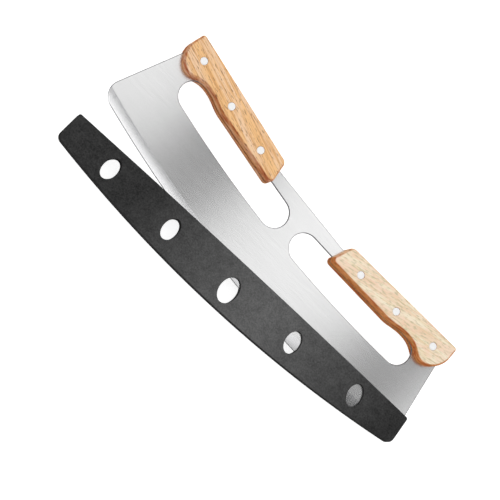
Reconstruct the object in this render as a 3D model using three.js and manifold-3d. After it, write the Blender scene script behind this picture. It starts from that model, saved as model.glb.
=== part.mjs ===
import * as THREE from 'three';
import { mergeVertices } from 'three/addons/utils/BufferGeometryUtils.js';
import Module from 'manifold-3d';

// A two-handled rocker knife for pizza, lying on its back scales, with its blade cover
// partly swung off. Millimetres. While the pieces are drawn, x runs along the blade from
// its middle, y rises from the lowest point of the cutting edge towards the handles, and
// z is the blade's thickness, with zero in the middle of the steel.

const wasm = await Module();
wasm.setup();

const degree = Math.PI / 180;

// Blade
const bladeLength = 340;
const bladeHeight = 83.7;
const bladeThickness = 2;
const edgeRadius = 1043;
const tipRadius = 13;
const endLean = 15.4 * degree;
const grindWidth = 8.2;
const edgeThickness = 0.4;
const stepRadius = 2.5;

// Finger slots, one on each side of a bridge, set in by the widths of the steel around them
const bridgeWidth = 12.1;
const edgeStripWidth = 47.2;
const backStripWidth = 13.3;
const endStripWidth = 33.9;
const slotRoofSlope = 4.05 * degree;

// Wooden scales. A width here is measured down from the handle's straight top line, and the
// top and foot lines are given where they would meet the middle of the knife.
const scaleThickness = 7.5;
const scaleEase = 2.2;
const gripRise = 0.8;
const gripTopSlope = 6.93 * degree;
const gripWidth = 18.8;
const gripFootSlope = 4.95 * degree;
const buttPlace = 36.3;
const buttLean = 14 * degree;
const buttTopRadius = 5;
const buttFootRadius = 3.5;
const noseSetback = 13.6;
const noseWidth = 11.5;
const noseLean = 6.8 * degree;
const noseRadius = 2.5;
const noseLength = 15.1;
const hookWidth = 28.2;
const hookLength = 18.3;
const waistWidth = 20.65;
const waistLength = 23;
const waistPullShares = [0.35, 0.45];
const throatPullShares = [0.5, 0.3];
const nosePullShares = [0.5, 0.55];

// Rivets, three to a handle, each a solid half pressed into a hollow half
const rivetButtInset = 24.9;
const rivetNoseInset = 16.3;
const rivetDrops = [12.5, 13.4, 12.7];
const rivetHeadRadius = 3.1;
const rivetHeadThickness = 1.6;
const rivetTubeRadius = 2;
const rivetPinRadius = 1.2;
const rivetTubeReach = 5;
const rivetPinReach = 3.5;
const rivetEndGap = 1;
const rivetClearance = 0.15;

// Blade cover, drawn with its own zero in the middle of its top edge. Its pocket follows the
// blade with a gap at the cutting edge, at each end and on each face.
const coverHeight = 40.5;
const coverThickness = 6;
const coverTopRadius = 10500;
const coverEndLean = 3.7 * degree;
const coverCornerRadius = 5.5;
const coverLipRadius = 1.8;
const coverEase = 0.5;
const coverWall = 1.2;
const seatGap = 1.25;
const endGap = 0.45;
const faceGap = 0.5;
const ventPitch = 63.4;
const ventDepthShares = [0.509, 0.503, 0.578, 0.503, 0.509];
const ventLengths = [18.8, 18.8, 22.1, 18.8, 18.8];
const ventWidths = [12.4, 12.4, 15.2, 12.4, 12.4];
const ventFanRadius = 720;

// The cover is swung off about the blade's right corner, and slips a little along itself
const coverTurn = 8.19 * degree;
const coverSlip = 0.4;

// One overrun lets every cut run past the faces that it opens
const overrun = 1;
const longArcSteps = 28;
const roundSteps = 10;
const pinSteps = 24;
const easeSteps = 2;
const settlingPasses = 40;

const steel = new THREE.MeshStandardMaterial({ color: 0xd2d2d3, roughness: 0.34, metalness: 1 });
const rivetSteel = new THREE.MeshStandardMaterial({ color: 0xe2e3e6, roughness: 0.25, metalness: 1 });
const leftWood = new THREE.MeshStandardMaterial({ color: 0xe8b880, roughness: 0.5, metalness: 0 });
const rightWood = new THREE.MeshStandardMaterial({ color: 0xf0d3a8, roughness: 0.5, metalness: 0 });
const blackPlastic = new THREE.MeshStandardMaterial({ color: 0x363636, roughness: 0.7, metalness: 0 });

function toSolid(geometry) {
  geometry.deleteAttribute('normal');
  geometry.deleteAttribute('uv');
  const merged = mergeVertices(geometry);
  return new wasm.Manifold(new wasm.Mesh({
    numProp: 3,
    vertProperties: new Float32Array(merged.attributes.position.array),
    triVerts: new Uint32Array(merged.index.array),
  }));
}

function toGeometry(solid) {
  const mesh = solid.getMesh();
  const geometry = new THREE.BufferGeometry();
  geometry.setAttribute('position', new THREE.BufferAttribute(new Float32Array(mesh.vertProperties), 3));
  geometry.setIndex(new THREE.BufferAttribute(new Uint32Array(mesh.triVerts), 1));
  return geometry;
}

const at = (x, y) => new THREE.Vector2(x, y);

function arc(centre, radius, from, to, steps) {
  const points = [];
  for (let i = 0; i <= steps; i += 1) {
    const angle = from + ((to - from) * i) / steps;
    points.push(at(centre.x + radius * Math.cos(angle), centre.y + radius * Math.sin(angle)));
  }
  return points;
}

// The round that replaces a corner between two straight sides
function fillet(before, corner, after, radius, steps) {
  const back = before.clone().sub(corner).normalize();
  const ahead = after.clone().sub(corner).normalize();
  const half = Math.acos(THREE.MathUtils.clamp(back.dot(ahead), -1, 1)) / 2;
  const middle = back.clone().add(ahead).normalize();
  const centre = corner.clone().addScaledVector(middle, radius / Math.sin(half));
  const start = corner.clone().addScaledVector(back, radius / Math.tan(half)).sub(centre);
  const sweep = Math.sign(-back.cross(ahead)) * (Math.PI - 2 * half);
  return arc(centre, radius, start.angle(), start.angle() + sweep, steps);
}

const mirrored = (points) => points.map((point) => at(-point.x, point.y)).reverse();

// A flat outline raised to a thickness that lies evenly on both sides of z = 0
function plate(points, thickness, ease = 0, holes = []) {
  const shape = new THREE.Shape(points);
  holes.forEach((hole) => shape.holes.push(new THREE.Path(hole)));
  const geometry = new THREE.ExtrudeGeometry(shape, {
    depth: thickness - 2 * ease,
    bevelEnabled: ease > 0,
    bevelThickness: ease,
    bevelSize: ease,
    bevelOffset: -ease,
    bevelSegments: easeSteps,
    steps: 1,
  });
  geometry.translate(0, 0, ease - thickness / 2);
  return geometry;
}

function disc(x, y, radius, from, to) {
  const geometry = new THREE.CylinderGeometry(radius, radius, to - from, pinSteps);
  geometry.rotateX(Math.PI / 2);
  geometry.translate(x, y, (from + to) / 2);
  return geometry;
}

// The back of the knife rises from its middle along the top of both handles
const gripTop = (x) => bladeHeight + gripRise + x * Math.tan(gripTopSlope);
const gripFoot = (x) => gripTop(0) - gripWidth + x * Math.tan(gripFootSlope);
const gripPoint = (x, width) => at(x, gripTop(x) - width);
const reachX = bladeLength / 2 - noseSetback;
const hookX = reachX - noseLength;
const waistX = hookX - hookLength;
const straightEndX = waistX - waistLength;

// The butt's slanted line, met with the handle's foot and top
const buttFoot = at(buttPlace, gripFoot(buttPlace));
const buttRise = (gripTop(buttPlace) - buttFoot.y) / (1 - Math.tan(buttLean) * Math.tan(gripTopSlope));
const buttTop = at(buttPlace + buttRise * Math.tan(buttLean), buttFoot.y + buttRise);

// The blade's corner round touches the cutting arc from inside and reaches the blade's full length
const tipX = bladeLength / 2 - tipRadius;
const tipY = edgeRadius - Math.sqrt((edgeRadius - tipRadius) ** 2 - tipX ** 2);
const edgeCentre = at(0, edgeRadius);
const tipOnEdge = at(tipX, tipY).sub(edgeCentre).angle() - 2 * Math.PI;
const endX = (y) => tipX + tipRadius / Math.cos(endLean) - (y - tipY) * Math.tan(endLean);
const endTopY = (gripTop(0) + endX(0) * Math.tan(gripTopSlope))
  / (1 + Math.tan(endLean) * Math.tan(gripTopSlope));

// Under each scale the steel steps up from the back to the handle's top line
function bladeOutline() {
  const stepX = buttTop.x + buttTopRadius;
  const endTop = at(endX(endTopY), endTopY);
  const stepFoot = at(stepX, bladeHeight);
  const stepTop = at(stepX, gripTop(stepX));
  const rise = stepTop.y - stepFoot.y;
  const half = [
    ...arc(edgeCentre, edgeRadius, -Math.PI / 2, tipOnEdge, longArcSteps),
    ...arc(at(tipX, tipY), tipRadius, tipOnEdge, endLean, roundSteps).slice(1),
    endTop,
    stepTop,
    ...fillet(stepTop, stepFoot, at(0, bladeHeight), Math.min(stepRadius, rise), roundSteps),
  ];
  return [...half, ...mirrored(half).slice(0, -1)];
}

// A slot's round end touches the floor's arc, the roof's line and an upright at edgeX. The
// floor's arc shares its centre with the cutting edge.
const floorRadius = edgeRadius - edgeStripWidth;
function slotEnd(edgeX, side) {
  const roof = (x) => bladeHeight - backStripWidth + x * Math.tan(slotRoofSlope);
  let radius = (roof(0) - edgeStripWidth) / 2;
  const middle = at(0, 0);
  for (let pass = 0; pass < settlingPasses; pass += 1) {
    middle.x = edgeX - side * radius;
    middle.y = edgeCentre.y - Math.sqrt((floorRadius - radius) ** 2 - middle.x ** 2);
    radius += ((roof(middle.x) - middle.y) * Math.cos(slotRoofSlope) - radius) / 2;
  }
  const onFloor = middle.clone().sub(edgeCentre).angle() - 2 * Math.PI;
  return { middle, radius, onFloor };
}

function slotOutline() {
  const inner = slotEnd(bridgeWidth / 2, -1);
  const outer = slotEnd(bladeLength / 2 - endStripWidth, 1);
  const roofNormal = Math.PI / 2 + slotRoofSlope;
  return [
    ...arc(edgeCentre, floorRadius, inner.onFloor, outer.onFloor, longArcSteps),
    ...arc(outer.middle, outer.radius, outer.onFloor, roofNormal, 2 * roundSteps).slice(1),
    ...arc(inner.middle, inner.radius, roofNormal, inner.onFloor + 2 * Math.PI, 2 * roundSteps)
      .slice(0, -1),
  ];
}

// A ring of wedge section, turned about the cutting arc's centre, grinds one face of the edge
function grindRing() {
  const flat = bladeThickness / 2;
  const rim = edgeRadius + overrun;
  const slope = (flat - edgeThickness / 2) / grindWidth;
  const start = edgeRadius - grindWidth;
  const profile = [
    at(start, flat),
    at(rim, flat - slope * (grindWidth + overrun)),
    at(rim, flat + overrun),
    at(start - overrun, flat + overrun),
    at(start, flat),
  ];
  const ring = new THREE.LatheGeometry(profile, 12 * longArcSteps);
  ring.rotateX(Math.PI / 2);
  ring.scale(1, 1, -1);
  ring.index.array.reverse();
  ring.translate(0, edgeRadius, 0);
  return ring;
}

const firstRivetX = buttPlace + rivetButtInset;
const lastRivetX = reachX - rivetNoseInset;
const rivetPlaces = [firstRivetX, (firstRivetX + lastRivetX) / 2, lastRivetX];
const rivetSpots = [-1, 1].flatMap((side) => rivetPlaces.map((x, i) => (
  at(side * x, gripPoint(x, rivetDrops[i]).y)
)));
const shankHoleRadius = rivetTubeRadius + rivetClearance;
const headHoleRadius = rivetHeadRadius + rivetClearance;

function makeBlade() {
  const slot = slotOutline();
  let blade = toSolid(plate(bladeOutline(), bladeThickness, 0, [slot, mirrored(slot)]));
  const front = toSolid(grindRing());
  blade = blade.subtract(front).subtract(front.mirror([0, 0, 1]));
  rivetSpots.forEach((spot) => {
    const hole = disc(spot.x, spot.y, shankHoleRadius, -bladeThickness, bladeThickness);
    blade = blade.subtract(toSolid(hole));
  });
  return toGeometry(blade);
}

// The right handle's outline: butt, straight grip, waist, hook and nose
function gripOutline() {
  const start = at(straightEndX, gripFoot(straightEndX));
  const waist = gripPoint(waistX, waistWidth);
  const hook = gripPoint(hookX, hookWidth);
  const reach = gripPoint(reachX, noseWidth);
  const noseTopRise = noseWidth / (1 + Math.tan(noseLean) * Math.tan(gripTopSlope));
  const noseTop = at(reachX - noseTopRise * Math.tan(noseLean), reach.y + noseTopRise);
  const curve = (a, b, c, d) => new THREE.CubicBezierCurve(a, b, c, d).getPoints(roundSteps).slice(1);
  const noseRise = reach.y - hook.y;
  return [
    ...fillet(buttTop, buttFoot, start, buttFootRadius, roundSteps),
    start,
    ...curve(
      start,
      at(start.x + waistLength * waistPullShares[0], gripFoot(start.x + waistLength * waistPullShares[0])),
      at(waist.x - waistLength * waistPullShares[1], waist.y),
      waist,
    ),
    ...curve(
      waist,
      at(waist.x + hookLength * throatPullShares[0], waist.y),
      at(hook.x - hookLength * throatPullShares[1], hook.y),
      hook,
    ),
    ...curve(
      hook,
      at(hook.x + noseLength * nosePullShares[0], hook.y),
      at(reach.x, reach.y - noseRise * nosePullShares[1]),
      reach,
    ),
    ...fillet(reach, noseTop, buttTop, noseRadius, roundSteps),
    ...fillet(noseTop, buttTop, buttFoot, buttTopRadius, roundSteps),
  ];
}

// A scale is half of an eased plate, split along its middle, with a stepped hole for each rivet
function makeScale(side, face) {
  const right = gripOutline();
  const outline = side > 0 ? right : mirrored(right);
  const seat = face * (bladeThickness / 2);
  const outside = face * (bladeThickness / 2 + scaleThickness);
  const body = plate(outline, 2 * scaleThickness, scaleEase);
  body.translate(0, 0, seat);
  const reach = reachX + gripTop(reachX);
  const keep = new THREE.BoxGeometry(2 * reach, 2 * reach, scaleThickness + overrun);
  keep.translate(0, 0, seat + (face * (scaleThickness + overrun)) / 2);
  let scale = toSolid(body).intersect(toSolid(keep));
  rivetSpots.filter((spot) => spot.x * side > 0).forEach((spot) => {
    const headFloor = outside - face * rivetHeadThickness;
    const ends = (a, b) => [Math.min(a, b), Math.max(a, b)];
    const head = disc(spot.x, spot.y, headHoleRadius, ...ends(headFloor, outside + face * overrun));
    const shank = disc(spot.x, spot.y, shankHoleRadius, ...ends(seat - face * overrun, outside));
    scale = scale.subtract(toSolid(head)).subtract(toSolid(shank));
  });
  return toGeometry(scale);
}

// The front half of a rivet carries the pin and the back half the tube that grips it
function makeRivetHalf(spot, face) {
  const outside = bladeThickness / 2 + scaleThickness;
  const underHead = outside - rivetHeadThickness;
  const turned = (outline) => {
    const geometry = new THREE.LatheGeometry(outline, pinSteps);
    geometry.rotateX(Math.PI / 2);
    if (face < 0) geometry.rotateY(Math.PI);
    geometry.translate(spot.x, spot.y, 0);
    return toGeometry(toSolid(geometry));
  };
  if (face > 0) {
    return turned([
      at(0, -rivetPinReach),
      at(rivetPinRadius, -rivetPinReach),
      at(rivetPinRadius, underHead),
      at(rivetHeadRadius, underHead),
      at(rivetHeadRadius, outside),
      at(0, outside),
    ]);
  }
  const bore = rivetPinRadius + rivetClearance;
  const boreFloor = rivetPinReach + rivetEndGap;
  return turned([
    at(0, boreFloor),
    at(bore, boreFloor),
    at(bore, -rivetTubeReach),
    at(rivetTubeRadius, -rivetTubeReach),
    at(rivetTubeRadius, underHead),
    at(rivetHeadRadius, underHead),
    at(rivetHeadRadius, outside),
    at(0, outside),
  ]);
}

// Pushed on, the cover's top edge stands this high over the cutting edge's lowest point, and
// its ends pass the blade's corners with their gap and wall
const seatedTop = coverHeight - coverWall - seatGap;
const coverHalf = bladeLength / 2 + endGap + coverWall / Math.cos(coverEndLean)
  - (seatedTop - tipY) * Math.tan(coverEndLean);
const footCentre = at(0, edgeCentre.y - seatedTop);
const coverFoot = (x) => footCentre.y - Math.sqrt((edgeRadius + seatGap + coverWall) ** 2 - x ** 2);

// The cover's outline, or its pocket's when it is drawn one wall further in
function coverOutline(inset, rise, corner, lip) {
  const slope = Math.tan(coverEndLean);
  const insetAlong = inset / Math.cos(coverEndLean);
  const endAt = (y) => coverHalf - insetAlong - y * slope;
  const footRadius = edgeRadius + seatGap + coverWall - inset;
  let footX = coverHalf;
  let footY = -coverHeight;
  for (let pass = 0; pass < settlingPasses; pass += 1) {
    footY = footCentre.y - Math.sqrt(footRadius ** 2 - footX ** 2);
    footX = endAt(footY);
  }
  const foot = at(footX, footY);
  const along = at(footX - corner, footCentre.y - Math.sqrt(footRadius ** 2 - (footX - corner) ** 2));
  const topY = rise - coverHalf ** 2 / (2 * coverTopRadius);
  const top = at(endAt(topY), topY);
  const round = fillet(along, foot, top, corner, roundSteps);
  const footFrom = Math.atan2(round[0].y - footCentre.y, round[0].x - footCentre.x);
  const sag = (x) => rise - x ** 2 / (2 * coverTopRadius);
  const topSteps = Array.from({ length: longArcSteps / 2 }, (_, i) => {
    const x = (1 - (i + 1) / (longArcSteps / 2)) * (top.x - 2 * lip);
    return at(x, sag(x));
  });
  const half = [
    ...arc(footCentre, footRadius, -Math.PI / 2, footFrom, longArcSteps / 2).slice(0, -1),
    ...round,
    ...(lip > 0 ? fillet(foot, top, at(0, rise), lip, roundSteps) : [top]),
    ...topSteps,
  ];
  return [...half, ...mirrored(half).slice(1, -1)];
}

function makeCover() {
  const outside = coverOutline(0, 0, coverCornerRadius, coverLipRadius);
  const shell = toSolid(plate(outside, coverThickness, coverEase));
  const pocketCorner = coverCornerRadius - coverWall;
  const pocketWidth = bladeThickness + 2 * faceGap;
  const pocket = toSolid(plate(coverOutline(coverWall, coverHeight, pocketCorner, 0), pocketWidth));
  let cover = shell.subtract(pocket);
  ventDepthShares.forEach((share, i) => {
    const place = (i - (ventDepthShares.length - 1) / 2) * ventPitch;
    const half = at(ventWidths[i] / 2, ventLengths[i] / 2);
    const ellipse = new THREE.EllipseCurve(0, 0, half.x, half.y, 0, 2 * Math.PI, false, 0);
    const vent = plate(ellipse.getPoints(2 * pinSteps).slice(0, -1), coverThickness + overrun);
    vent.rotateZ(Math.asin(place / ventFanRadius));
    vent.translate(place, share * coverFoot(place), 0);
    cover = cover.subtract(toSolid(vent));
  });
  const geometry = toGeometry(cover);
  geometry.translate(coverSlip - tipX, seatedTop - tipY, 0);
  geometry.rotateZ(coverTurn);
  geometry.translate(tipX, tipY, 0);
  return geometry;
}

const knife = new THREE.Group();

function add(name, geometry, material) {
  const mesh = new THREE.Mesh(geometry, material);
  mesh.name = name;
  knife.add(mesh);
}

add('blade', makeBlade(), steel);
add('left_handle_front_scale', makeScale(-1, 1), leftWood);
add('left_handle_back_scale', makeScale(-1, -1), leftWood);
add('right_handle_front_scale', makeScale(1, 1), rightWood);
add('right_handle_back_scale', makeScale(1, -1), rightWood);

rivetSpots.forEach((spot, i) => {
  const handle = spot.x < 0 ? 'left' : 'right';
  const number = (i % rivetPlaces.length) + 1;
  add(`${handle}_rivet_${number}_pin_half`, makeRivetHalf(spot, 1), rivetSteel);
  add(`${handle}_rivet_${number}_tube_half`, makeRivetHalf(spot, -1), rivetSteel);
});

add('blade_cover', makeCover(), blackPlastic);

// The origin is under the middle of the knife, at the level that it lies on
const box = new THREE.Box3().setFromObject(knife);
const middle = box.getCenter(new THREE.Vector3());
knife.position.set(-middle.x, -middle.y, -box.min.z);
knife.updateMatrixWorld(true);

export default knife;
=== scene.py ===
# %% [markdown]
# A rocker knife for pizza lies on its back on a white table, with its blade cover swung
# partly off. Its measured frame is loaded first, in metres. The frame's meshes have the
# right places and sizes, but they are plain, so each piece is modelled again on them: the
# steel is cut and ground anew, the wooden scales are sawn from their own outlines, the
# rivets are turned on a lathe, and the cover's holes get rounded rims.

import math

import bmesh
import bpy
from mathutils import Matrix, Quaternion, Vector


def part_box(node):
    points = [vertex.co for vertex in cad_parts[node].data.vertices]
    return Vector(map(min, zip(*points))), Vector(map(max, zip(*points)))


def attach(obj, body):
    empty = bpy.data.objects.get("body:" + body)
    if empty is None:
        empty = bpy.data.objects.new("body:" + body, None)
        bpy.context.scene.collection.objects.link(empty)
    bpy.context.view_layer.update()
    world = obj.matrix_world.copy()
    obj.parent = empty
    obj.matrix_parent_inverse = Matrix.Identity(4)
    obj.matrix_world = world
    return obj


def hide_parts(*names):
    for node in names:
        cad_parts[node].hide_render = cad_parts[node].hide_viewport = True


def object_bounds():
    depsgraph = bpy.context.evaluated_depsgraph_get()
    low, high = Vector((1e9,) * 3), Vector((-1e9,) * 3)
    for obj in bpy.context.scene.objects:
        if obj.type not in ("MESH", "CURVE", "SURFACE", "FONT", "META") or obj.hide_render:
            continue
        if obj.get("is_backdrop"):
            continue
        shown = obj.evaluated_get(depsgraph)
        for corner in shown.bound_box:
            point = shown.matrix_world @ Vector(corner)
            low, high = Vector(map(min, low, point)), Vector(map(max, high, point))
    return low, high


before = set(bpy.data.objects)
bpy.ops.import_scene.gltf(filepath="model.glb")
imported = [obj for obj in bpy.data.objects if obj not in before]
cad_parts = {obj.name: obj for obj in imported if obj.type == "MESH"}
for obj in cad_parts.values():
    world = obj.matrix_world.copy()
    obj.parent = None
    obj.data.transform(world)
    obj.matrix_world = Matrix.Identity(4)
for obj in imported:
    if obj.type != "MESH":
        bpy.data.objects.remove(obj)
frame_low, frame_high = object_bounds()
mm = 0.001
box_in_mm = [round(v / mm, 1) for v in frame_high - frame_low]
print("nodes:", len(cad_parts), "box in mm:", box_in_mm)

# %% [markdown]
# The camera comes before the pieces, because it decides which sides matter. It looks down
# on the table from a little more than one and a half metres. It leans towards the cutting
# edge, so the sides that face the edge show, and it is rolled so that the knife runs from
# the upper left to the lower right. A constraint could aim it, but a turn worked out once
# keeps the scene simple.

# %% Place the camera
eye = Vector((-227.4, -489.1, 1580.8)) * mm
aim = Vector((-10.3, -8.0, 8.5)) * mm
camera_roll = math.radians(74.15)
lens_mm = 158.4
sensor_mm = 36

camera_data = bpy.data.cameras.new("camera")
camera_data.lens = lens_mm
camera_data.sensor_width = sensor_mm
camera = bpy.data.objects.new("camera", camera_data)
camera.location = eye
camera.rotation_mode = "QUATERNION"
looking = (aim - eye).to_track_quat("-Z", "Y")
camera.rotation_quaternion = looking @ Quaternion((0, 0, 1), camera_roll)
bpy.context.scene.collection.objects.link(camera)
bpy.context.scene.camera = camera
print("camera to knife in mm:", round((aim - eye).length / mm))

# %% [markdown]
# Colours are written as the hex values that a painter would pick on a screen. Shaders work
# in linear light, where the same numbers would look too pale, so one function turns each
# of them.

# %% Colours
def colour(hex_value):
    """An sRGB hex colour as linear red, green, blue and alpha."""
    shares = [int(hex_value[i:i + 2], 16) / 255 for i in (1, 3, 5)]
    return [s / 12.92 if s <= 0.04045 else ((s + 0.055) / 1.055) ** 2.4 for s in shares] + [1]


print("mid grey in linear light:", [round(v, 3) for v in colour("#808080")[:3]])

# %% [markdown]
# A material is a tree of nodes. They could be set one line at a time, but then a material
# gets long. Here one function sets a node's inputs and another adds the node, so that a
# material reads as a list. Every material starts as a bare surface shader.

# %% Nodes and materials
def set_inputs(tree, node, inputs):
    """Sets a node's inputs. Each is a value, or the output of another node to link."""
    for name, value in inputs.items():
        if isinstance(value, bpy.types.NodeSocket):
            tree.links.new(value, node.inputs[name])
        else:
            node.inputs[name].default_value = value


def add_node(tree, kind, inputs, **settings):
    """Adds a node with its settings, and sets or links its inputs."""
    node = tree.nodes.new(kind)
    for name, value in settings.items():
        setattr(node, name, value)
    set_inputs(tree, node, inputs)
    return node


def new_material(name):
    """A material with only its surface shader, and the tree that its nodes go into."""
    material = bpy.data.materials.new(name)
    material.use_nodes = True
    tree = material.node_tree
    return material, tree, tree.nodes["Principled BSDF"]


print("materials before the first:", len(bpy.data.materials))

# %% [markdown]
# A pattern such as grain has a real size. A noise texture's features are about one unit
# wide, so the piece's own coordinates are divided by sizes in millimetres, one for each
# direction: long cells give streaks, and equal ones give spots. The axes are turned first,
# where a pattern doesn't run along the knife. An unwrapped map would do as well, but it
# would have seams, and a pattern in space runs on through a piece as grain does in wood.

# %% Coordinates for patterns
def cells(tree, sizes, turn=0.0, shift=(0, 0, 0)):
    """Object coordinates counted in cells of these sizes in millimetres, on turned axes."""
    place = add_node(tree, "ShaderNodeTexCoord", {})
    turned = add_node(tree, "ShaderNodeMapping", {
        "Vector": place.outputs["Object"], "Rotation": (0, 0, -turn)})
    scale = [1 / (size * mm) for size in sizes]
    counted = add_node(tree, "ShaderNodeMapping", {
        "Vector": turned.outputs[0], "Scale": scale, "Location": shift})
    return counted.outputs[0]


print("cells of 20 mm along the knife:", round(box_in_mm[0] / 20))

# %% [markdown]
# The frame's meshes are loose triangles. Operators such as a bevel need joined faces, so a
# copy of a node is merged first, and its flat areas are dissolved into large faces. The
# node itself stays as it is, because places and sizes are still measured on it.

# %% Copies of nodes, and new objects
merge_distance = 0.002 * mm
flat_angle = math.radians(0.3)


def merged_copy(node):
    """The frame's node as a clean mesh of large flat faces."""
    mesh = bmesh.new()
    mesh.from_mesh(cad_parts[node].data)
    bmesh.ops.remove_doubles(mesh, verts=mesh.verts, dist=merge_distance)
    bmesh.ops.dissolve_limit(mesh, angle_limit=flat_angle, verts=mesh.verts, edges=mesh.edges)
    return mesh


def to_object(mesh, name):
    """Turns a bmesh into an object, and frees it."""
    data = bpy.data.meshes.new(name)
    mesh.to_mesh(data)
    mesh.free()
    made = bpy.data.objects.new(name, data)
    bpy.context.scene.collection.objects.link(made)
    return made


print("points merge within mm:", merge_distance / mm)

# %% [markdown]
# Holes and ground faces are cut as in a workshop, by taking a tool's shape out of a piece.
# A Boolean modifier does that with any two closed shapes, and its exact solver stays clean
# where faces meet. The result is kept as a plain mesh, so that later steps can work on it.

# %% Cutting with tools
def cut_away(piece, tools):
    """Cuts the tools' shapes out of a piece, and removes the tools."""
    for tool in tools:
        cut = piece.modifiers.new("cut", "BOOLEAN")
        cut.operation = "DIFFERENCE"
        cut.solver = "EXACT"
        cut.object = tool
    solved = piece.evaluated_get(bpy.context.evaluated_depsgraph_get())
    result = bpy.data.meshes.new_from_object(solved)
    piece.modifiers.clear()
    piece.data = result
    for tool in tools:
        bpy.data.objects.remove(tool)


# %% [markdown]
# Every finished piece is shaded in the same way. Smooth shading alone would smear light
# over the flat faces, and flat shading would show each facet of a round one. So edges that
# turn sharply stay sharp, as do edges between two finishes, and the normals lean towards
# the larger faces. The piece then takes its finishes, rides on its body, and stands for
# the node that it was made from, which is hidden.

# %% Finishing a piece
sharp_angle = math.radians(32)


def keep_finishes_apart(piece):
    """Makes every edge between two finishes of a piece a crisp one."""
    mesh = bmesh.new()
    mesh.from_mesh(piece.data)
    for edge in mesh.edges:
        if len({side.material_index for side in edge.link_faces}) > 1:
            edge.smooth = False
    mesh.to_mesh(piece.data)
    mesh.free()


def finish_piece(piece, body, node, materials):
    """Shading, materials, and the piece's place among the frame's bodies."""
    piece.data.polygons.foreach_set("use_smooth", [True] * len(piece.data.polygons))
    piece.data.set_sharp_from_angle(angle=sharp_angle)
    keep_finishes_apart(piece)
    for material in materials:
        piece.data.materials.append(material)
    even = piece.modifiers.new("even_shading", "WEIGHTED_NORMAL")
    even.keep_sharp = True
    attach(piece, body)
    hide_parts(node)
    print(piece.name, "faces:", len(piece.data.polygons))


print("edges stay sharp over degrees:", round(math.degrees(sharp_angle)))

# %% [markdown]
# The blade is stainless steel sheet, brushed along its length on a belt. Its fine parallel
# scratches spread a reflection across them and keep it narrow along them, so soft bright
# and dark bands of the room cross the blade. Thousands of modelled grooves would sparkle
# as noise, so the shader's anisotropy gives the spread, with its tangent laid across the
# scratches. Real scratches are far finer than a pixel. They are drawn 0.8 mm apart, as
# coarse as they need to be to show, and vary the tone, the roughness and a faint relief.

# %% Streaks of brushed stainless steel
brush_width = 0.8
brush_length = 20
brush_patch = 3
brush_turn = math.radians(5)
patch_share = 0.1

brushed_steel, tree, shader = new_material("brushed_stainless_steel")
scratches = add_node(tree, "ShaderNodeTexNoise", {
    "Vector": cells(tree, (brush_length, brush_width, brush_length), brush_turn),
    "Scale": 1, "Detail": 1, "Roughness": 0.5})
patches = add_node(tree, "ShaderNodeTexNoise", {
    "Vector": cells(tree, (brush_length, brush_patch, brush_length), brush_turn),
    "Scale": 1, "Detail": 2, "Roughness": 0.5})
streaks = add_node(tree, "ShaderNodeMix", {
    0: patch_share, 2: scratches.outputs[0], 3: patches.outputs[0]})
print("brush marks in mm:", brush_length, "by", brush_width)

# %% Surface of brushed stainless steel
tone = add_node(tree, "ShaderNodeMix", {
    0: streaks.outputs[0], 6: colour("#DBDBDB"), 7: colour("#E9E9E9")}, data_type="RGBA")
rough = add_node(tree, "ShaderNodeMapRange", {
    "Value": scratches.outputs[0], "From Min": 0.3, "From Max": 0.7,
    "To Min": 0.245, "To Max": 0.25})
relief = add_node(tree, "ShaderNodeBump", {
    "Height": scratches.outputs[0], "Strength": 0.01, "Distance": 0.01 * mm})
across = add_node(tree, "ShaderNodeVectorTransform", {"Vector": (0, 1, 0)},
                  vector_type="VECTOR", convert_from="OBJECT", convert_to="WORLD")
set_inputs(tree, shader, {
    "Metallic": 1, "Anisotropic": 0.5, "Base Color": tone.outputs[2],
    "Roughness": rough.outputs[0], "Normal": relief.outputs[0], "Tangent": across.outputs[0]})
print("made", brushed_steel.name)

# %% [markdown]
# The cutting edge is ground on a belt and finished finer than the brushed faces, so it is
# glossier, with fine marks square to the edge. A polished metal without marks would shine
# like glass, so a narrow noise varies its tone and roughness a little. Real marks are
# finer than a pixel, so these are drawn 0.8 mm apart, which is about the least that shows.

# %% Ground steel of the cutting edge
grind_mark = (0.8, 6, 6)

ground_steel, tree, shader = new_material("ground_edge_steel")
marks = add_node(tree, "ShaderNodeTexNoise", {
    "Vector": cells(tree, grind_mark), "Scale": 1, "Detail": 1})
tone = add_node(tree, "ShaderNodeMix", {
    0: marks.outputs[0], 6: colour("#D8D8D9"), 7: colour("#E8E8E9")}, data_type="RGBA")
rough = add_node(tree, "ShaderNodeMapRange", {
    "Value": marks.outputs[0], "From Min": 0.3, "From Max": 0.7, "To Min": 0.2, "To Max": 0.22})
set_inputs(tree, shader, {
    "Metallic": 1, "Base Color": tone.outputs[2], "Roughness": rough.outputs[0]})
print("made", ground_steel.name)

# %% [markdown]
# The plate's sides and its broken rims are left as they were cut, so they are dull and a
# little burnt. Their dark tone is partly that and partly painted shade, for the dark walls
# of the slots and the dark lines at the rims. The same steel with a higher roughness would
# still light up at a glancing angle and draw a white line round the blade. The specular
# tint takes that down, which is painted shade as well.
# The burns are drawn 0.8 mm wide too, coarser than they are, so that they show.

# %% Cut steel of the sides
burn_mark = (0.8, 0.8, 3)

cut_steel, tree, shader = new_material("cut_side_steel")
burns = add_node(tree, "ShaderNodeTexNoise", {
    "Vector": cells(tree, burn_mark), "Scale": 1, "Detail": 2})
tone = add_node(tree, "ShaderNodeMix", {
    0: burns.outputs[0], 6: colour("#5A5A5B"), 7: colour("#828284")}, data_type="RGBA")
# Painted shade: the dark tone and the grey specular tint keep the sides dark.
set_inputs(tree, shader, {
    "Metallic": 1, "Roughness": 0.55, "Specular Tint": colour("#808082"),
    "Base Color": tone.outputs[2]})
print("made", cut_steel.name)

# %% [markdown]
# The blade's plate is cut again from its own outline. The frame's blade could be bevelled
# as it is, but its ground faces would be in the way. A section through the middle of the
# steel gives the outline, with its slots and rivet holes, and filling and extruding it
# gives a plate with clean sides.

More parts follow.
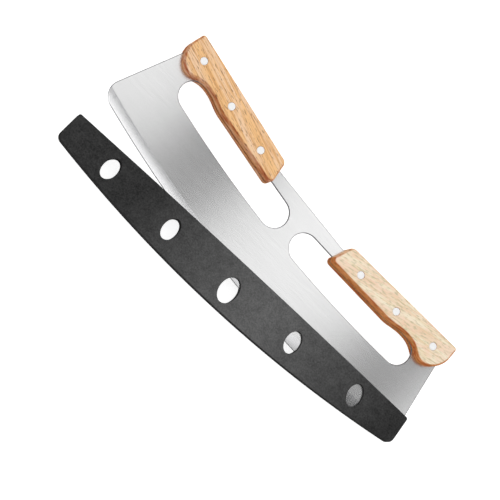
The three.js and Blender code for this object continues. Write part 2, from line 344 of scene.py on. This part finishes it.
# %% From a section to a sheet
def sheet_from_section(node, height):
    """A flat sheet bounded by the node's outline at this height."""
    mesh = merged_copy(node)
    everything = mesh.verts[:] + mesh.edges[:] + mesh.faces[:]
    cut = bmesh.ops.bisect_plane(mesh, geom=everything, plane_co=(0, 0, height),
                                 plane_no=(0, 0, 1))
    outline = {part for part in cut["geom_cut"] if isinstance(part, bmesh.types.BMEdge)}
    rest = [edge for edge in mesh.edges if edge not in outline]
    bmesh.ops.delete(mesh, geom=rest, context="EDGES_FACES")
    loose = [vert for vert in mesh.verts if not vert.link_edges]
    bmesh.ops.delete(mesh, geom=loose, context="VERTS")
    bmesh.ops.triangle_fill(mesh, use_beauty=True, use_dissolve=False, edges=mesh.edges[:],
                            normal=(0, 0, 1))
    return mesh


def extrude_sheet(mesh, rise):
    """Gives a flat sheet a thickness."""
    made = bmesh.ops.extrude_face_region(mesh, geom=mesh.faces[:])
    moved = [part for part in made["geom"] if isinstance(part, bmesh.types.BMVert)]
    bmesh.ops.translate(mesh, verts=moved, vec=(0, 0, rise))
    bmesh.ops.recalc_face_normals(mesh, faces=mesh.faces)


blade_low, blade_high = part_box("blade")
blade_middle = (blade_low + blade_high) / 2
half_steel = (blade_high.z - blade_low.z) / 2
print("steel thickness in mm:", round(2 * half_steel / mm, 2))

# %% [markdown]
# A cut plate has sharp rims, which a maker breaks with a stone so that they don't hurt a
# hand. A bevel round both faces does the same. It also gives the thin line of light that
# the eye expects at an edge.

# %% The plate and its broken rims
rim_break = 0.5 * mm
break_steps = 2


def flat_rims(mesh):
    """The edges where a flat top or bottom meets a side square to it."""
    return [edge for edge in mesh.edges if len(edge.link_faces) == 2
            and {round(abs(side.normal.z)) for side in edge.link_faces} == {0, 1}]


sheet = sheet_from_section("blade", blade_middle.z)
bmesh.ops.translate(sheet, verts=sheet.verts, vec=(0, 0, -half_steel))
extrude_sheet(sheet, 2 * half_steel)
bmesh.ops.dissolve_limit(sheet, angle_limit=flat_angle, verts=sheet.verts, edges=sheet.edges)
bmesh.ops.bevel(sheet, geom=flat_rims(sheet), offset=rim_break, offset_type="OFFSET",
                segments=break_steps, profile=0.5, affect="EDGES", clamp_overlap=False,
                material=-1)
blade = to_object(sheet, "blade_steel")
print("blade plate faces:", len(blade.data.polygons))

# %% [markdown]
# The edge is ground as a grinder does it. The belt gives a little, so it leaves a slightly
# round face that ends in a short steeper one. Moving the plate's points would follow its
# uneven triangles, so the space that the belt takes is drawn as a profile, swept along the
# cutting arc and cut away, once for each face.

# %% The space that the belt takes
edge_radius = 1043 * mm
grind_width = 8.2 * mm
edge_thickness = 0.4 * mm
edge_bevel = 0.4 * mm
edge_bevel_rise = 0.1 * mm
edge_bulge = 0.05 * mm
grind_steps = 8
ring_half_angle = math.radians(11)
ring_steps = 110
overrun = 1 * mm
arc_centre = Vector((blade_middle.x, blade_low.y + edge_radius, blade_middle.z))


def grinding_profile():
    """The belt's path over the steel as (radius, height) pairs, closed outside the steel.
    It is a parabola that stands edge_bulge above a straight path in its middle."""
    drop = half_steel - edge_thickness / 2 - edge_bevel_rise
    belt_width = grind_width - edge_bevel
    profile = []
    for step in range(grind_steps + 1):
        share = step / grind_steps
        reach = edge_radius - grind_width + belt_width * share
        height = half_steel - drop * share + 4 * edge_bulge * share * (1 - share)
        profile.append((reach, height))
    return profile + [(edge_radius, edge_thickness / 2),
                      (edge_radius + overrun, edge_thickness / 2),
                      (edge_radius + overrun, half_steel + overrun),
                      (edge_radius - grind_width, half_steel + overrun)]


print("profile points:", len(grinding_profile()))

# %% Grind the edge
def grinding_ring(face):
    """The space that the belt takes from the front (1) or the back (-1), along the arc."""
    mesh = bmesh.new()
    points = [mesh.verts.new(arc_centre + Vector((0, -reach, face * height)))
              for reach, height in grinding_profile()]
    mesh.faces.new(points)
    turn = Matrix.Rotation(-ring_half_angle, 3, "Z")
    bmesh.ops.rotate(mesh, cent=arc_centre, matrix=turn, verts=mesh.verts)
    bmesh.ops.spin(mesh, geom=mesh.verts[:] + mesh.edges[:] + mesh.faces[:], cent=arc_centre,
                   axis=(0, 0, 1), dvec=(0, 0, 0), angle=2 * ring_half_angle,
                   steps=ring_steps, use_merge=False, use_normal_flip=False,
                   use_duplicate=False)
    bmesh.ops.recalc_face_normals(mesh, faces=mesh.faces)
    return to_object(mesh, "grinding_ring")


cut_away(blade, [grinding_ring(1), grinding_ring(-1)])
print("ground blade faces:", len(blade.data.polygons))

# %% [markdown]
# Three finishes meet on the blade. They could be painted by hand, but the lean of a face
# tells them apart: the brushed faces are level, the ground ones lean by a few degrees, and
# the rims and sides by more.

# %% Finish the blade
ground_lean = 0.2
side_lean = 14

for polygon in blade.data.polygons:
    lean = math.degrees(math.acos(min(1, abs(polygon.normal.z))))
    if lean > side_lean:
        polygon.material_index = 2
    elif lean > ground_lean:
        polygon.material_index = 1
finish_piece(blade, "knife", "blade", [brushed_steel, ground_steel, cut_steel])

# %% [markdown]
# Each handle is oiled hardwood, sawn from a board, so its grain runs along the handle but
# is turned a little from it. A ready wood texture draws even rings, which these boards
# don't show. So the wood is painted in layers over a base tone: broad bands first, then
# fine grain, then short dark pores or flecks, each with its own size in millimetres.

# %% Grain of the woods
wood_noise = {"Scale": 1, "Detail": 2, "Roughness": 0.55}


def painted_grain(tree, grain_turn, base, layers):
    """Layers over a base colour. Returns the colour, and the last layer's noise."""
    tone = colour(base)
    for sizes, low, high, most, hex_value in layers:
        noise = add_node(tree, "ShaderNodeTexNoise", {
            "Vector": cells(tree, sizes, grain_turn), **wood_noise})
        share = add_node(tree, "ShaderNodeMapRange", {
            "Value": noise.outputs[0], "From Min": low, "From Max": high, "To Max": most})
        mixed = add_node(tree, "ShaderNodeMix", {
            0: share.outputs[0], 6: tone, 7: colour(hex_value)}, data_type="RGBA")
        tone = mixed.outputs[2]
    return tone, noise.outputs[0]


print("octaves in a wood's noise:", wood_noise["Detail"])

# %% [markdown]
# The rounded rims and the sides are darker than the flat faces: partly from the oil that
# they take up, and partly painted shade. The side that faces the cutting edge is the
# darkest, with the most painted shade, and red streaks of grain run along it. A map painted
# by hand could hold this, but the surface normal knows it already: how far it leans from
# the flat face, and how far it turns towards the edge.

# %% Oiled sides of the woods, with painted shade
side_begins, side_full = 0.993, 0.86
# These three values set the painted shade on the side that faces the cutting edge.
edge_shade_begins, edge_shade_full = 0.5, -0.1
least_edge_shade = 0.1
side_streak = (22, 4, 4)
streak_tint = "#D8A898"


def side_shares(tree):
    """How far a spot is on a side, and how far oil and painted shade darken it, both 0 to 1."""
    place = add_node(tree, "ShaderNodeTexCoord", {})
    facing = add_node(tree, "ShaderNodeSeparateXYZ", {"Vector": place.outputs["Normal"]})
    flatness = add_node(tree, "ShaderNodeMath", {0: facing.outputs["Z"]}, operation="ABSOLUTE")
    side = add_node(tree, "ShaderNodeMapRange", {
        "Value": flatness.outputs[0], "From Min": side_begins, "From Max": side_full})
    # Painted shade, the most on the side that faces the cutting edge.
    edge_shade = add_node(tree, "ShaderNodeMapRange", {
        "Value": facing.outputs["Y"], "From Min": edge_shade_begins, "From Max": edge_shade_full,
        "To Min": least_edge_shade})
    darkened = add_node(tree, "ShaderNodeMath", {
        0: side.outputs[0], 1: edge_shade.outputs[0]}, operation="MULTIPLY")
    return side.outputs[0], darkened.outputs[0]


def oiled_and_shaded_sides(tree, grain_turn, tone, darkened, side_tint):
    """The colour with its sides tinted by oil and painted shade, and red streaks along them."""
    tinted = add_node(tree, "ShaderNodeMix", {
        0: darkened, 6: tone, 7: colour(side_tint)}, data_type="RGBA", blend_type="MULTIPLY")
    noise = add_node(tree, "ShaderNodeTexNoise", {
        "Vector": cells(tree, side_streak, grain_turn), **wood_noise})
    reddened = add_node(tree, "ShaderNodeMapRange", {
        "Value": noise.outputs[0], "From Min": 0.45, "From Max": 0.62, "To Max": 0.9})
    streaked = add_node(tree, "ShaderNodeMath", {
        0: reddened.outputs[0], 1: darkened}, operation="MULTIPLY")
    reddish = add_node(tree, "ShaderNodeMix", {
        0: streaked.outputs[0], 6: tinted.outputs[2], 7: colour(streak_tint)},
        data_type="RGBA", blend_type="MULTIPLY")
    return reddish.outputs[2]


print("a side begins at a lean of degrees:", round(math.degrees(math.acos(side_begins)), 1))

# %% [markdown]
# The wood gets painted shade where shade falls: in the crevice beside the steel, and as a
# contact shadow low on the side that faces the cutting edge, near the table. Both are
# places at a known height, so the object's own height draws them, as thin soft lines.

# %% Painted shade at the seams and feet of the woods
seam_width = 0.6 * mm
foot_width = 2 * mm
# The tint of the painted shade beside the steel and at the foot.
contact_shade_tint = "#C8A890"


def wood_with_painted_shade(tree, tone, darkened):
    """The colour with painted shade beside the steel, and a painted contact shadow at the foot.
    """
    place = add_node(tree, "ShaderNodeTexCoord", {})
    spot = add_node(tree, "ShaderNodeSeparateXYZ", {"Vector": place.outputs["Object"]})
    from_middle = add_node(tree, "ShaderNodeMath", {
        0: spot.outputs["Z"], 1: blade_middle.z}, operation="SUBTRACT")
    from_steel = add_node(tree, "ShaderNodeMath", {0: from_middle.outputs[0]},
                          operation="ABSOLUTE")
    seam = add_node(tree, "ShaderNodeMapRange", {
        "Value": from_steel.outputs[0], "From Min": half_steel,
        "From Max": half_steel + seam_width, "To Min": 1, "To Max": 0})
    low_down = add_node(tree, "ShaderNodeMapRange", {
        "Value": spot.outputs["Z"], "From Min": 0, "From Max": foot_width,
        "To Min": 1, "To Max": 0})
    foot = add_node(tree, "ShaderNodeMath", {
        0: low_down.outputs[0], 1: darkened}, operation="MULTIPLY")
    # Painted shade: the crevice beside the steel, or the contact shadow at the foot.
    painted_shade = add_node(tree, "ShaderNodeMath", {
        0: seam.outputs[0], 1: foot.outputs[0]}, operation="MAXIMUM")
    shaded_wood = add_node(tree, "ShaderNodeMix", {
        0: painted_shade.outputs[0], 6: tone, 7: colour(contact_shade_tint)},
        data_type="RGBA", blend_type="MULTIPLY")
    return shaded_wood.outputs[2]


print("seam and foot in mm:", seam_width / mm, foot_width / mm)

# %% [markdown]
# A wood puts these parts together. Its gloss is a soft oiled one on the flat faces, which
# are rubbed most, and goes away on the sides. The last layer's noise, its pores or flecks,
# also sets the roughness and a shallow relief, so that the marks are felt as well as seen.

# %% A whole wood
def wood(name, grain_turn, base, layers, side_tint):
    """Wood with its grain turned. A layer is its sizes, thresholds, share and colour."""
    material, tree, shader = new_material(name)
    tone, noise = painted_grain(tree, grain_turn, base, layers)
    side, darkened = side_shares(tree)
    tone = oiled_and_shaded_sides(tree, grain_turn, tone, darkened, side_tint)
    tone = wood_with_painted_shade(tree, tone, darkened)
    gloss = add_node(tree, "ShaderNodeMapRange", {"Value": side, "To Min": 0.5, "To Max": 0})
    rough = add_node(tree, "ShaderNodeMapRange", {
        "Value": noise, "From Min": 0.3, "From Max": 0.7, "To Min": 0.42, "To Max": 0.55})
    relief = add_node(tree, "ShaderNodeBump", {
        "Height": noise, "Strength": 0.25, "Distance": 0.05 * mm})
    set_inputs(tree, shader, {
        "Base Color": tone, "Specular IOR Level": gloss.outputs[0],
        "Roughness": rough.outputs[0], "Normal": relief.outputs[0]})
    print("made", name, "with layers:", len(layers))
    return material


# %% [markdown]
# The two handles come from different boards. The left one is a warm tan wood with dark
# pores, and the right one is a pale cream wood with pinkish patches and green-grey flecks.
# Two separate materials would repeat each other, so one function makes both. Real pores
# are finer than a pixel, so they are drawn 0.9 mm wide, as coarse as they need to show.

# %% The two woods
broad_band = (70, 5, 5)
patch = (9, 4, 4)
fine_grain = (30, 1.4, 1.4)
pore = (5, 0.9, 0.9)
fleck = (5, 1.4, 1.4)
# The last colour of each wood tints its sides, for oil and painted shade.
left_wood = wood("warm_tan_wood", math.radians(-13), "#FAC88C", [
    (broad_band, 0.42, 0.6, 0.9, "#FAD5B0"),
    (fine_grain, 0.46, 0.64, 0.9, "#DFA566"),
    (pore, 0.57, 0.68, 0.85, "#96694A"),
], "#DCCCD0")
right_wood = wood("pale_cream_wood", math.radians(18), "#FEF0D6", [
    (broad_band, 0.42, 0.6, 0.8, "#FBDDC4"),
    (patch, 0.5, 0.62, 0.4, "#FBCEB2"),
    (fine_grain, 0.44, 0.68, 0.6, "#E6C894"),
    (fleck, 0.5, 0.68, 0.75, "#C8BC94"),
], "#D29A70")

# %% [markdown]
# The rivets are bright steel, sanded flush with the wood, so their faces are satin and
# show no reflection of one lamp. A high roughness gives that, with a fine grit in it. Real
# grit is finer than a pixel as well, and it is drawn 0.8 mm wide for the same reason.

# %% Satin rivet steel
grit_size = 0.8

rivet_steel, tree, shader = new_material("satin_rivet_steel")
grit = add_node(tree, "ShaderNodeTexNoise", {
    "Vector": cells(tree, (grit_size, grit_size, grit_size)), "Scale": 1, "Detail": 2})
tone = add_node(tree, "ShaderNodeMix", {
    0: grit.outputs[0], 6: colour("#FAFAFA"), 7: colour("#FFFFFF")}, data_type="RGBA")
rough = add_node(tree, "ShaderNodeMapRange", {
    "Value": grit.outputs[0], "From Min": 0.3, "From Max": 0.7, "To Min": 0.85, "To Max": 0.95})
set_inputs(tree, shader, {
    "Metallic": 1, "Base Color": tone.outputs[2], "Roughness": rough.outputs[0]})
print("made", rivet_steel.name)

# %% [markdown]
# The cover is moulded from black plastic, in a mould with a fine pebbled grain that hides
# scratches. Displacing a fine mesh could model each pebble, but a bump looks the same from
# here. Real pebbles are about half a millimetre wide, which is finer than a pixel, so they
# are drawn 1.1 mm wide to show. Broader mottles show how the plastic flowed.

# %% Pebbled grain of the plastic
pebble = 1.1
mottle = 7
mottle_share = 0.3

black_plastic, tree, shader = new_material("pebbled_black_plastic")
pebbles = add_node(tree, "ShaderNodeTexNoise", {
    "Vector": cells(tree, (pebble, pebble, pebble)), "Scale": 1, "Detail": 2, "Roughness": 0.6})
mottles = add_node(tree, "ShaderNodeTexNoise", {
    "Vector": cells(tree, (mottle, mottle, mottle)), "Scale": 1, "Detail": 2})
grain = add_node(tree, "ShaderNodeMix", {
    0: mottle_share, 2: pebbles.outputs[0], 3: mottles.outputs[0]})
relief = add_node(tree, "ShaderNodeBump", {
    "Height": pebbles.outputs[0], "Strength": 0.6, "Distance": 0.1 * mm})
print("pebbles and mottles in mm:", pebble, mottle)

# %% [markdown]
# The cover's middle is painted grey, a painted sheen for the broad highlight there, while
# its ends stay black. A round gradient stretched along the cover fades one tone into the
# other. Its cells are endless in the other two directions, so that it changes only along
# the cover.

# %% Painted sheen in the middle of the cover
painted_sheen_place = 32
painted_sheen_reach = 130
endless = 1e6

sheen_painted = add_node(tree, "ShaderNodeTexGradient", {
    "Vector": cells(tree, (painted_sheen_reach, endless, endless), 0, (-painted_sheen_place / painted_sheen_reach, 0, 0))},
    gradient_type="SPHERICAL")
black = add_node(tree, "ShaderNodeMix", {
    0: grain.outputs[0], 6: colour("#000000"), 7: colour("#0A0A0A")}, data_type="RGBA")
# The grey is the tone of the painted sheen.
grey = add_node(tree, "ShaderNodeMix", {
    0: grain.outputs[0], 6: colour("#343434"), 7: colour("#6C6C6C")}, data_type="RGBA")
face = add_node(tree, "ShaderNodeMix", {
    0: sheen_painted.outputs["Fac"], 6: black.outputs[2], 7: grey.outputs[2]}, data_type="RGBA")
print("the cover is worn from mm", painted_sheen_place - painted_sheen_reach, "to", painted_sheen_place + painted_sheen_reach)

# %% [markdown]
# The cover's narrow sides slid along the mould and are plain: one dark grey without gloss.
# The normal tells them from the faces again, and the change is soft over the eased edges.

# %% Plain sides and surface of the cover
plain_side, whole_face = 0.6, 0.95

place = add_node(tree, "ShaderNodeTexCoord", {})
facing = add_node(tree, "ShaderNodeSeparateXYZ", {"Vector": place.outputs["Normal"]})
flatness = add_node(tree, "ShaderNodeMath", {0: facing.outputs["Z"]}, operation="ABSOLUTE")
on_face = add_node(tree, "ShaderNodeMapRange", {
    "Value": flatness.outputs[0], "From Min": plain_side, "From Max": whole_face})
tone = add_node(tree, "ShaderNodeMix", {
    0: on_face.outputs[0], 6: colour("#303030"), 7: face.outputs[2]}, data_type="RGBA")
gloss = add_node(tree, "ShaderNodeMapRange", {
    "Value": grain.outputs[0], "From Min": 0.3, "From Max": 0.7,
    "To Min": 0.22, "To Max": 0.72})
sheen = add_node(tree, "ShaderNodeMath", {
    0: gloss.outputs[0], 1: on_face.outputs[0]}, operation="MULTIPLY")
set_inputs(tree, shader, {
    "Roughness": 0.35, "Base Color": tone.outputs[2],
    "Specular IOR Level": sheen.outputs[0], "Normal": relief.outputs[0]})
print("made", black_plastic.name)

# %% [markdown]
# Each rivet is a solid half pressed into a hollow half. Both are turned parts, so they are
# made on a lathe here too: a profile, drawn from the axis outwards, is spun once round. A
# cylinder with bevels would come close, but a lathe gives the domed head with its rounded
# rim and the bored shank in one go.

# %% A lathe
turning_steps = 48


def turned(name, profile, axis_point, face):
    """Spins (radius, height) pairs about an axis, facing the front (1) or the back (-1)."""
    mesh = bmesh.new()
    points = [mesh.verts.new(axis_point + Vector((radius, 0, face * height)))
              for radius, height in profile]
    for start, end in zip(points, points[1:]):
        mesh.edges.new((start, end))
    bmesh.ops.spin(mesh, geom=mesh.verts[:] + mesh.edges[:], cent=axis_point,
                   axis=(0, 0, 1), dvec=(0, 0, 0), angle=2 * math.pi, steps=turning_steps,
                   use_merge=True, use_normal_flip=False, use_duplicate=False)
    bmesh.ops.remove_doubles(mesh, verts=mesh.verts, dist=merge_distance)
    bmesh.ops.recalc_face_normals(mesh, faces=mesh.faces)
    return to_object(mesh, name)


print("sides of a turned piece:", turning_steps)

# %% Profile of a rivet head
head_radius = 3.1 * mm
head_thickness = 1.6 * mm
head_dome = 0.06 * mm
rim_round = 0.35 * mm
rim_steps = 5
half_handle = (frame_high.z - frame_low.z) / 2
under_head = half_handle - head_thickness


def head_profile():
    """The rounded rim and the domed face of a head, from its underside to its centre."""
    profile = [(head_radius, under_head)]
    for step in range(rim_steps + 1):
        angle = math.pi / 2 * step / rim_steps
        profile.append((head_radius - rim_round * (1 - math.cos(angle)),
                        half_handle - head_dome - rim_round * (1 - math.sin(angle))))
    flat_radius = head_radius - rim_round
    for step in range(1, rim_steps + 1):
        radius = flat_radius * (1 - step / rim_steps)
        profile.append((radius, half_handle - head_dome * (radius / flat_radius) ** 2))
    return profile


print("points in a head's profile:", len(head_profile()))

# %% Turn the rivets
pin_radius = 1.2 * mm
tube_radius = 2 * mm
bore_radius = 1.35 * mm
bore_floor = 4.5 * mm
rivet_axes = {}

for node in [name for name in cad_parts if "_rivet_" in name]:
    low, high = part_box(node)
    face = 1 if node.endswith("pin_half") else -1
    inner_end = (low.z - blade_middle.z) if face > 0 else (blade_middle.z - high.z)
    axis_point = Vector(((low.x + high.x) / 2, (low.y + high.y) / 2, blade_middle.z))
    if face > 0:
        shank = [(0, inner_end), (pin_radius, inner_end), (pin_radius, under_head)]
    else:
        shank = [(0, bore_floor), (bore_radius, bore_floor), (bore_radius, inner_end),
                 (tube_radius, inner_end), (tube_radius, under_head)]
    rivet = turned(node.replace("_half", ""), shank + head_profile(), axis_point, face)
    finish_piece(rivet, "knife", node, [rivet_steel])
    rivet_axes[node] = axis_point

# %% [markdown]
# A scale's holes are drilled for the rivets' shanks and stepped for their heads. The same
# lathe makes the stepped drill, a little wider than the rivet all round, and the drill is
# cut away from the wood.

# %% A stepped drill
hole_clearance = 0.15 * mm


def drill(axis_point, face):
    """A stepped drill for one rivet head and its shank, entering from one face."""
    shank = tube_radius + hole_clearance
    head = head_radius + hole_clearance
    past = half_handle + overrun
    return turned("drill", [(0, -overrun), (shank, -overrun), (shank, under_head),
                            (head, under_head), (head, past), (0, past)],
                  axis_point, face)


print("head hole in mm:", round(2 * (head_radius + hole_clearance) / mm, 1))

# %% [markdown]
# Each handle is two wooden scales on either side of the steel. The frame's scale could be
# kept, but its rim is made of a few facets. So a scale starts from the flat shape of its
# seat on the steel, with the holes filled. It is raised to its thickness, and its outer
# rim is rounded over as with a router bit, before the holes are drilled.

# %% Shape a wooden scale
ease_radius = 2.2 * mm
ease_steps = 7
shank_sides = 24


def scale_from_seat(node, face):
    """A scale without holes, raised from the flat face that lies on the steel."""
    low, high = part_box(node)
    thickness = high.z - low.z
    seat = low.z if face > 0 else high.z
    mesh = merged_copy(node)
    off_seat = [polygon for polygon in mesh.faces
                if abs(polygon.calc_center_median().z - seat) > merge_distance]
    bmesh.ops.delete(mesh, geom=off_seat, context="FACES")
    bmesh.ops.holes_fill(mesh, edges=mesh.edges, sides=shank_sides)
    bmesh.ops.dissolve_faces(mesh, faces=mesh.faces[:], use_verts=False)
    extrude_sheet(mesh, face * thickness)
    rim = [edge for edge in mesh.edges
           if all(abs(vert.co.z - seat) > thickness / 2 for vert in edge.verts)]
    bmesh.ops.bevel(mesh, geom=rim, offset=ease_radius, offset_type="OFFSET",
                    segments=ease_steps, profile=0.5, affect="EDGES", clamp_overlap=False,
                    material=-1)
    bmesh.ops.recalc_face_normals(mesh, faces=mesh.faces)
    return to_object(mesh, node + "_wood")


print("rims rounded to mm:", ease_radius / mm)

# %% Make the four scales
for side, material in (("left", left_wood), ("right", right_wood)):
    for layer, kind, face in (("front", "pin_half", 1), ("back", "tube_half", -1)):
        node = f"{side}_handle_{layer}_scale"
        scale = scale_from_seat(node, face)
        axes = [axis for name, axis in rivet_axes.items()
                if name.startswith(side) and name.endswith(kind)]
        cut_away(scale, [drill(axis, face) for axis in axes])
        finish_piece(scale, "knife", node, [material])

# %% [markdown]
# The cover is one moulded sheath with oval holes through both walls. Its outside edges are
# eased in the frame already, and a new shell would only repeat them, so the frame's shape
# is kept. The holes' rims are still sharp, and a moulding's never are, so they are rounded.

# %% Blade cover
vent_round = 0.5 * mm
vent_round_steps = 3
upright = 0.1
cover_low, cover_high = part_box("blade_cover")


def is_vent_rim(edge):
    """An edge of the cover's flat outside that meets a wall square to it."""
    on_face = all(min(abs(vert.co.z - cover_low.z), abs(vert.co.z - cover_high.z))
                  < merge_distance for vert in edge.verts)
    return on_face and any(abs(side.normal.z) < upright for side in edge.link_faces)


shell = merged_copy("blade_cover")
rims = [edge for edge in shell.edges if is_vent_rim(edge)]
print("vent rim edges:", len(rims))
bmesh.ops.bevel(shell, geom=rims, offset=vent_round, offset_type="OFFSET",
                segments=vent_round_steps, profile=0.5, affect="EDGES", clamp_overlap=False,
                material=-1)
cover = to_object(shell, "cover_moulding")
finish_piece(cover, "cover", "blade_cover", [black_plastic])

# %% [markdown]
# The knife lies on a white laminate table. More light would turn the table white, but it
# would bleach the knife too. So the table glows only to the camera and in reflections, and
# the knife's soft shadow still falls on its own plain colour. The laminate is matt, with a
# mottle in its tone that is too faint to draw the eye.

# %% White laminate
table_glow = 0.8
table_mottle = 25

white_table, tree, shader = new_material("white_table")
grain = add_node(tree, "ShaderNodeTexNoise", {
    "Vector": cells(tree, (table_mottle, table_mottle, table_mottle)), "Scale": 1, "Detail": 2})
tone = add_node(tree, "ShaderNodeMix", {
    0: grain.outputs[0], 6: colour("#DCDCDC"), 7: colour("#E0E0E0")}, data_type="RGBA")
path = add_node(tree, "ShaderNodeLightPath", {})
seen = add_node(tree, "ShaderNodeMath", {
    0: path.outputs["Is Camera Ray"], 1: path.outputs["Is Glossy Ray"]}, operation="ADD")
seen_through = add_node(tree, "ShaderNodeMath", {
    0: seen.outputs[0], 1: path.outputs["Is Transmission Ray"]},
    operation="ADD", use_clamp=True)
glow = add_node(tree, "ShaderNodeMath", {
    0: seen_through.outputs[0], 1: table_glow}, operation="MULTIPLY")
set_inputs(tree, shader, {
    "Emission Color": colour("#FFFFFF"), "Roughness": 0.9, "Specular IOR Level": 0.1,
    "Base Color": tone.outputs[2], "Emission Strength": glow.outputs[0]})
print("made", white_table.name)

# %% The table top
table_half = 1.6

mesh = bmesh.new()
bmesh.ops.create_grid(mesh, x_segments=1, y_segments=1, size=table_half)
bmesh.ops.translate(mesh, verts=mesh.verts, vec=(0, 0, frame_low.z))
table = to_object(mesh, "table")
table.data.materials.append(white_table)
table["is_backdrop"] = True
print("table side in metres:", 2 * table_half)

# %% [markdown]
# The studio is a room with bright walls and a dark ceiling. A picture of a real studio
# could light it, but two tones are enough: the walls light the wood and the plastic evenly
# from all round, and the steel shows the ceiling as its deep greys. A direction's height,
# from 0 at the horizon to 1 overhead, tells walls from ceiling.

# %% Room light
wall_light, ceiling_light = 1.15, 0.11
wall_top, ceiling_edge = 0.6, 0.9

room = bpy.data.worlds.new("studio_room")
bpy.context.scene.world = room
room.use_nodes = True
tree = room.node_tree
direction = add_node(tree, "ShaderNodeTexCoord", {})
height = add_node(tree, "ShaderNodeSeparateXYZ", {"Vector": direction.outputs["Generated"]})
climb = add_node(tree, "ShaderNodeMapRange", {
    "Value": height.outputs["Z"], "From Min": wall_top, "From Max": ceiling_edge,
    "To Min": wall_light, "To Max": ceiling_light})
set_inputs(tree, tree.nodes["Background"], {
    "Color": colour("#FFFFFF"), "Strength": climb.outputs[0]})
print("made", room.name)

# %% [markdown]
# Softboxes hang half a metre over the table, level with it. Small lamps would draw hot
# spots, because steel mirrors what lies above it: it is bright where a softbox is, and
# grey between them. So each box is placed for the part of the blade that mirrors it to
# the camera. The left, middle and right boxes give the blade its bright zones, the sheen
# box lights the cover and the steel beside it, and the edge and corner boxes light the
# ground band.

# %% Softboxes
box_height = 0.5


def softbox(name, low, high, brightness):
    """A lamp level over the table, between two corners in millimetres. At a brightness of
    1 a perfect mirror shows it white."""
    data = bpy.data.lights.new(name, "AREA")
    data.shape = "RECTANGLE"
    data.size = (high[0] - low[0]) * mm
    data.size_y = (high[1] - low[1]) * mm
    data.energy = brightness * math.pi * data.size * data.size_y
    lamp = bpy.data.objects.new(name, data)
    lamp.location = ((low[0] + high[0]) / 2 * mm, (low[1] + high[1]) / 2 * mm, box_height)
    lamp.visible_camera = False
    bpy.context.scene.collection.objects.link(lamp)


softbox("left_box", (-300, 90), (-81, 400), 1.05)
softbox("middle_box", (8, 130), (200, 400), 1.14)
softbox("sheen_box", (0, -10), (180, 110), 1.3)
softbox("right_box", (285, 60), (420, 400), 1.25)
softbox("edge_box", (-300, -70), (-10, 30), 1.6)
softbox("corner_box", (-320, 30), (-130, 37), 2.2)
print("lamps:", len(bpy.data.lights))

# %% [markdown]
# The Standard view shows each colour about as it was written. At the end the box of the
# finished pieces is compared with the frame's, and how much it grew is printed.

# %% Picture settings and sizes
scene = bpy.context.scene
scene.view_settings.view_transform = "Standard"
seen_low, seen_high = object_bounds()
growth = [(b - a) / mm for a, b in zip(frame_high - frame_low, seen_high - seen_low)]
print("grown in mm:", [round(v, 2) for v in growth])
